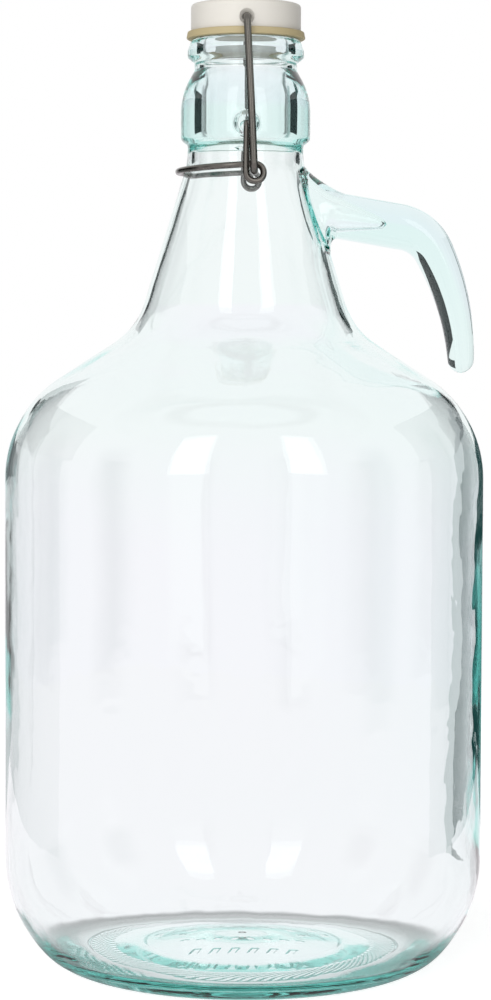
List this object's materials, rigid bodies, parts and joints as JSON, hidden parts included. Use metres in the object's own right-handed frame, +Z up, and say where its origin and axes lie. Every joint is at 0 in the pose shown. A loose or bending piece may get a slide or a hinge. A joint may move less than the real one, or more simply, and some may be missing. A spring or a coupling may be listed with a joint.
{
  "type": "glass demijohn with swing-top closure",
  "caption": "Five-litre clear glass demijohn with a hooked glass handle and a swing-top stopper on a wire bail and lever",
  "frame": {"origin": "centre of the standing ring, on the surface it stands on", "axes": "+Z up along the bottle's axis, +X towards the handle, Y along the closure's pivots"},
  "size_m": [0.1784, 0.1784, 0.3586],
  "materials": {
    "glass": "smooth blown glass",
    "plastic": "moulded",
    "rubber": "matte",
    "steel": "drawn wire, dull"
  },
  "bodies": {
    "bottle": {"bottle": "glass"},
    "lever": {"lever": "steel"},
    "bail": {"bail": "steel"},
    "stopper": {"stopper": "plastic", "gasket": "rubber"}
  },
  "joints": [
    {"name": "lever_hinge", "type": "hinge", "parent": "bottle", "child": "lever", "pos_m": [0, 0, 0.3133], "axis": [0, 1, 0], "range_deg": [0, 75]},
    {"name": "bail_hinge", "type": "hinge", "parent": "lever", "child": "bail", "pos_m": [0.0027, 0, 0.2956], "axis": [0, 1, 0], "range_deg": [-53, 0]},
    {"name": "stopper_hinge", "type": "hinge", "parent": "bail", "child": "stopper", "pos_m": [0, 0, 0.35212], "axis": [0, 1, 0], "range_deg": [-23, 0]}
  ],
  "couplings": [
    {"joint": "bail_hinge", "follows": "lever_hinge", "ratio": -0.7},
    {"joint": "stopper_hinge", "follows": "lever_hinge", "ratio": -0.3}
  ]
}
